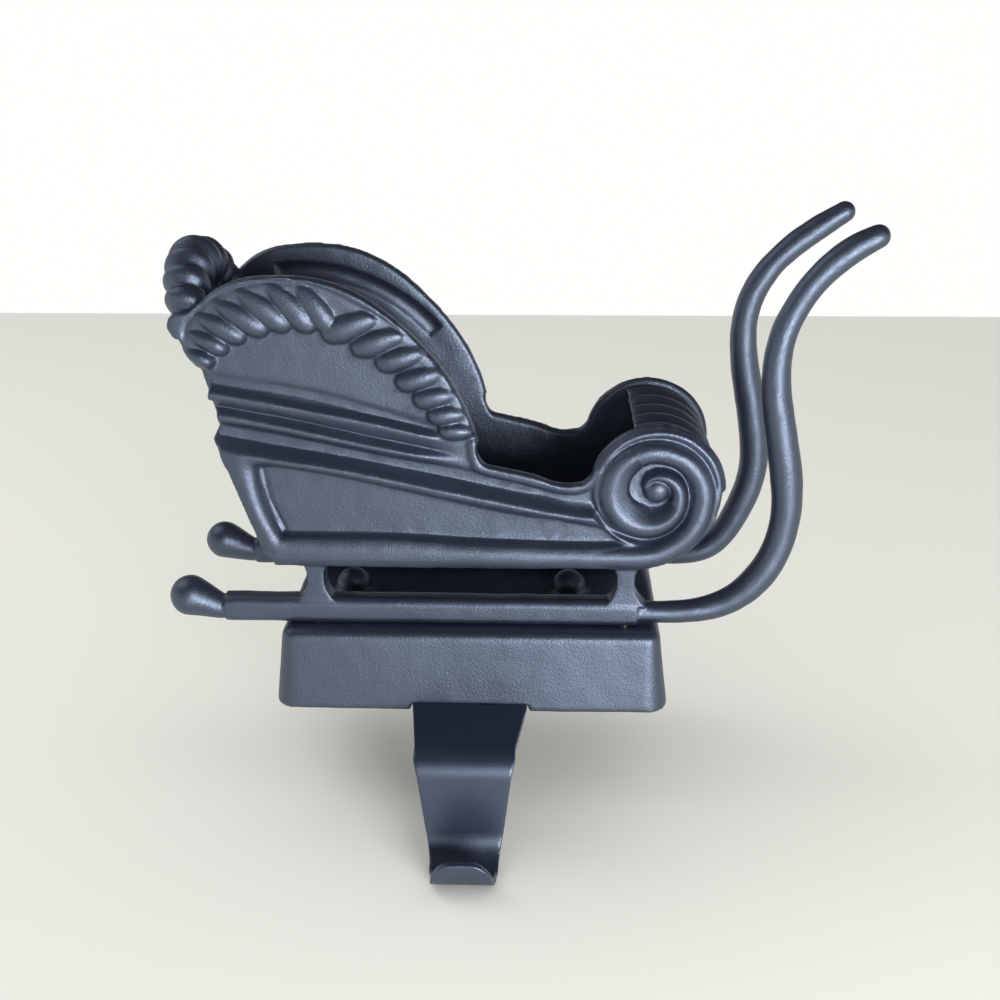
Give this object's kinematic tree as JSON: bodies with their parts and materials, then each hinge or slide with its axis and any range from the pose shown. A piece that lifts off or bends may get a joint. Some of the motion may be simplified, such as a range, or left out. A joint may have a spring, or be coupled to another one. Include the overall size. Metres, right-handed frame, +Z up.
{
  "type": "mantel stocking holder",
  "caption": "Cast sleigh on a hollow base with a bent strip hook below it, stood on a mantel shelf so that a stocking hangs in front of the edge.",
  "frame": {"origin": "middle of the base's underside, where it rests on the mantel shelf", "axes": "+X along the sleigh towards its dash and shafts, -Y towards the hook and the room, +Z up"},
  "size_m": [0.1756, 0.0975, 0.1506],
  "materials": {
    "painted_casting": "satin black paint over fine casting grain",
    "painted_strip": "satin black paint on flat steel",
    "screw_steel": "plain steel"
  },
  "bodies": {
    "root": {"base": "painted_casting", "sleigh": "painted_casting", "stocking_hook": "painted_strip", "hook_screws": "screw_steel", "sleigh_screws": "screw_steel"}
  },
  "joints": []
}
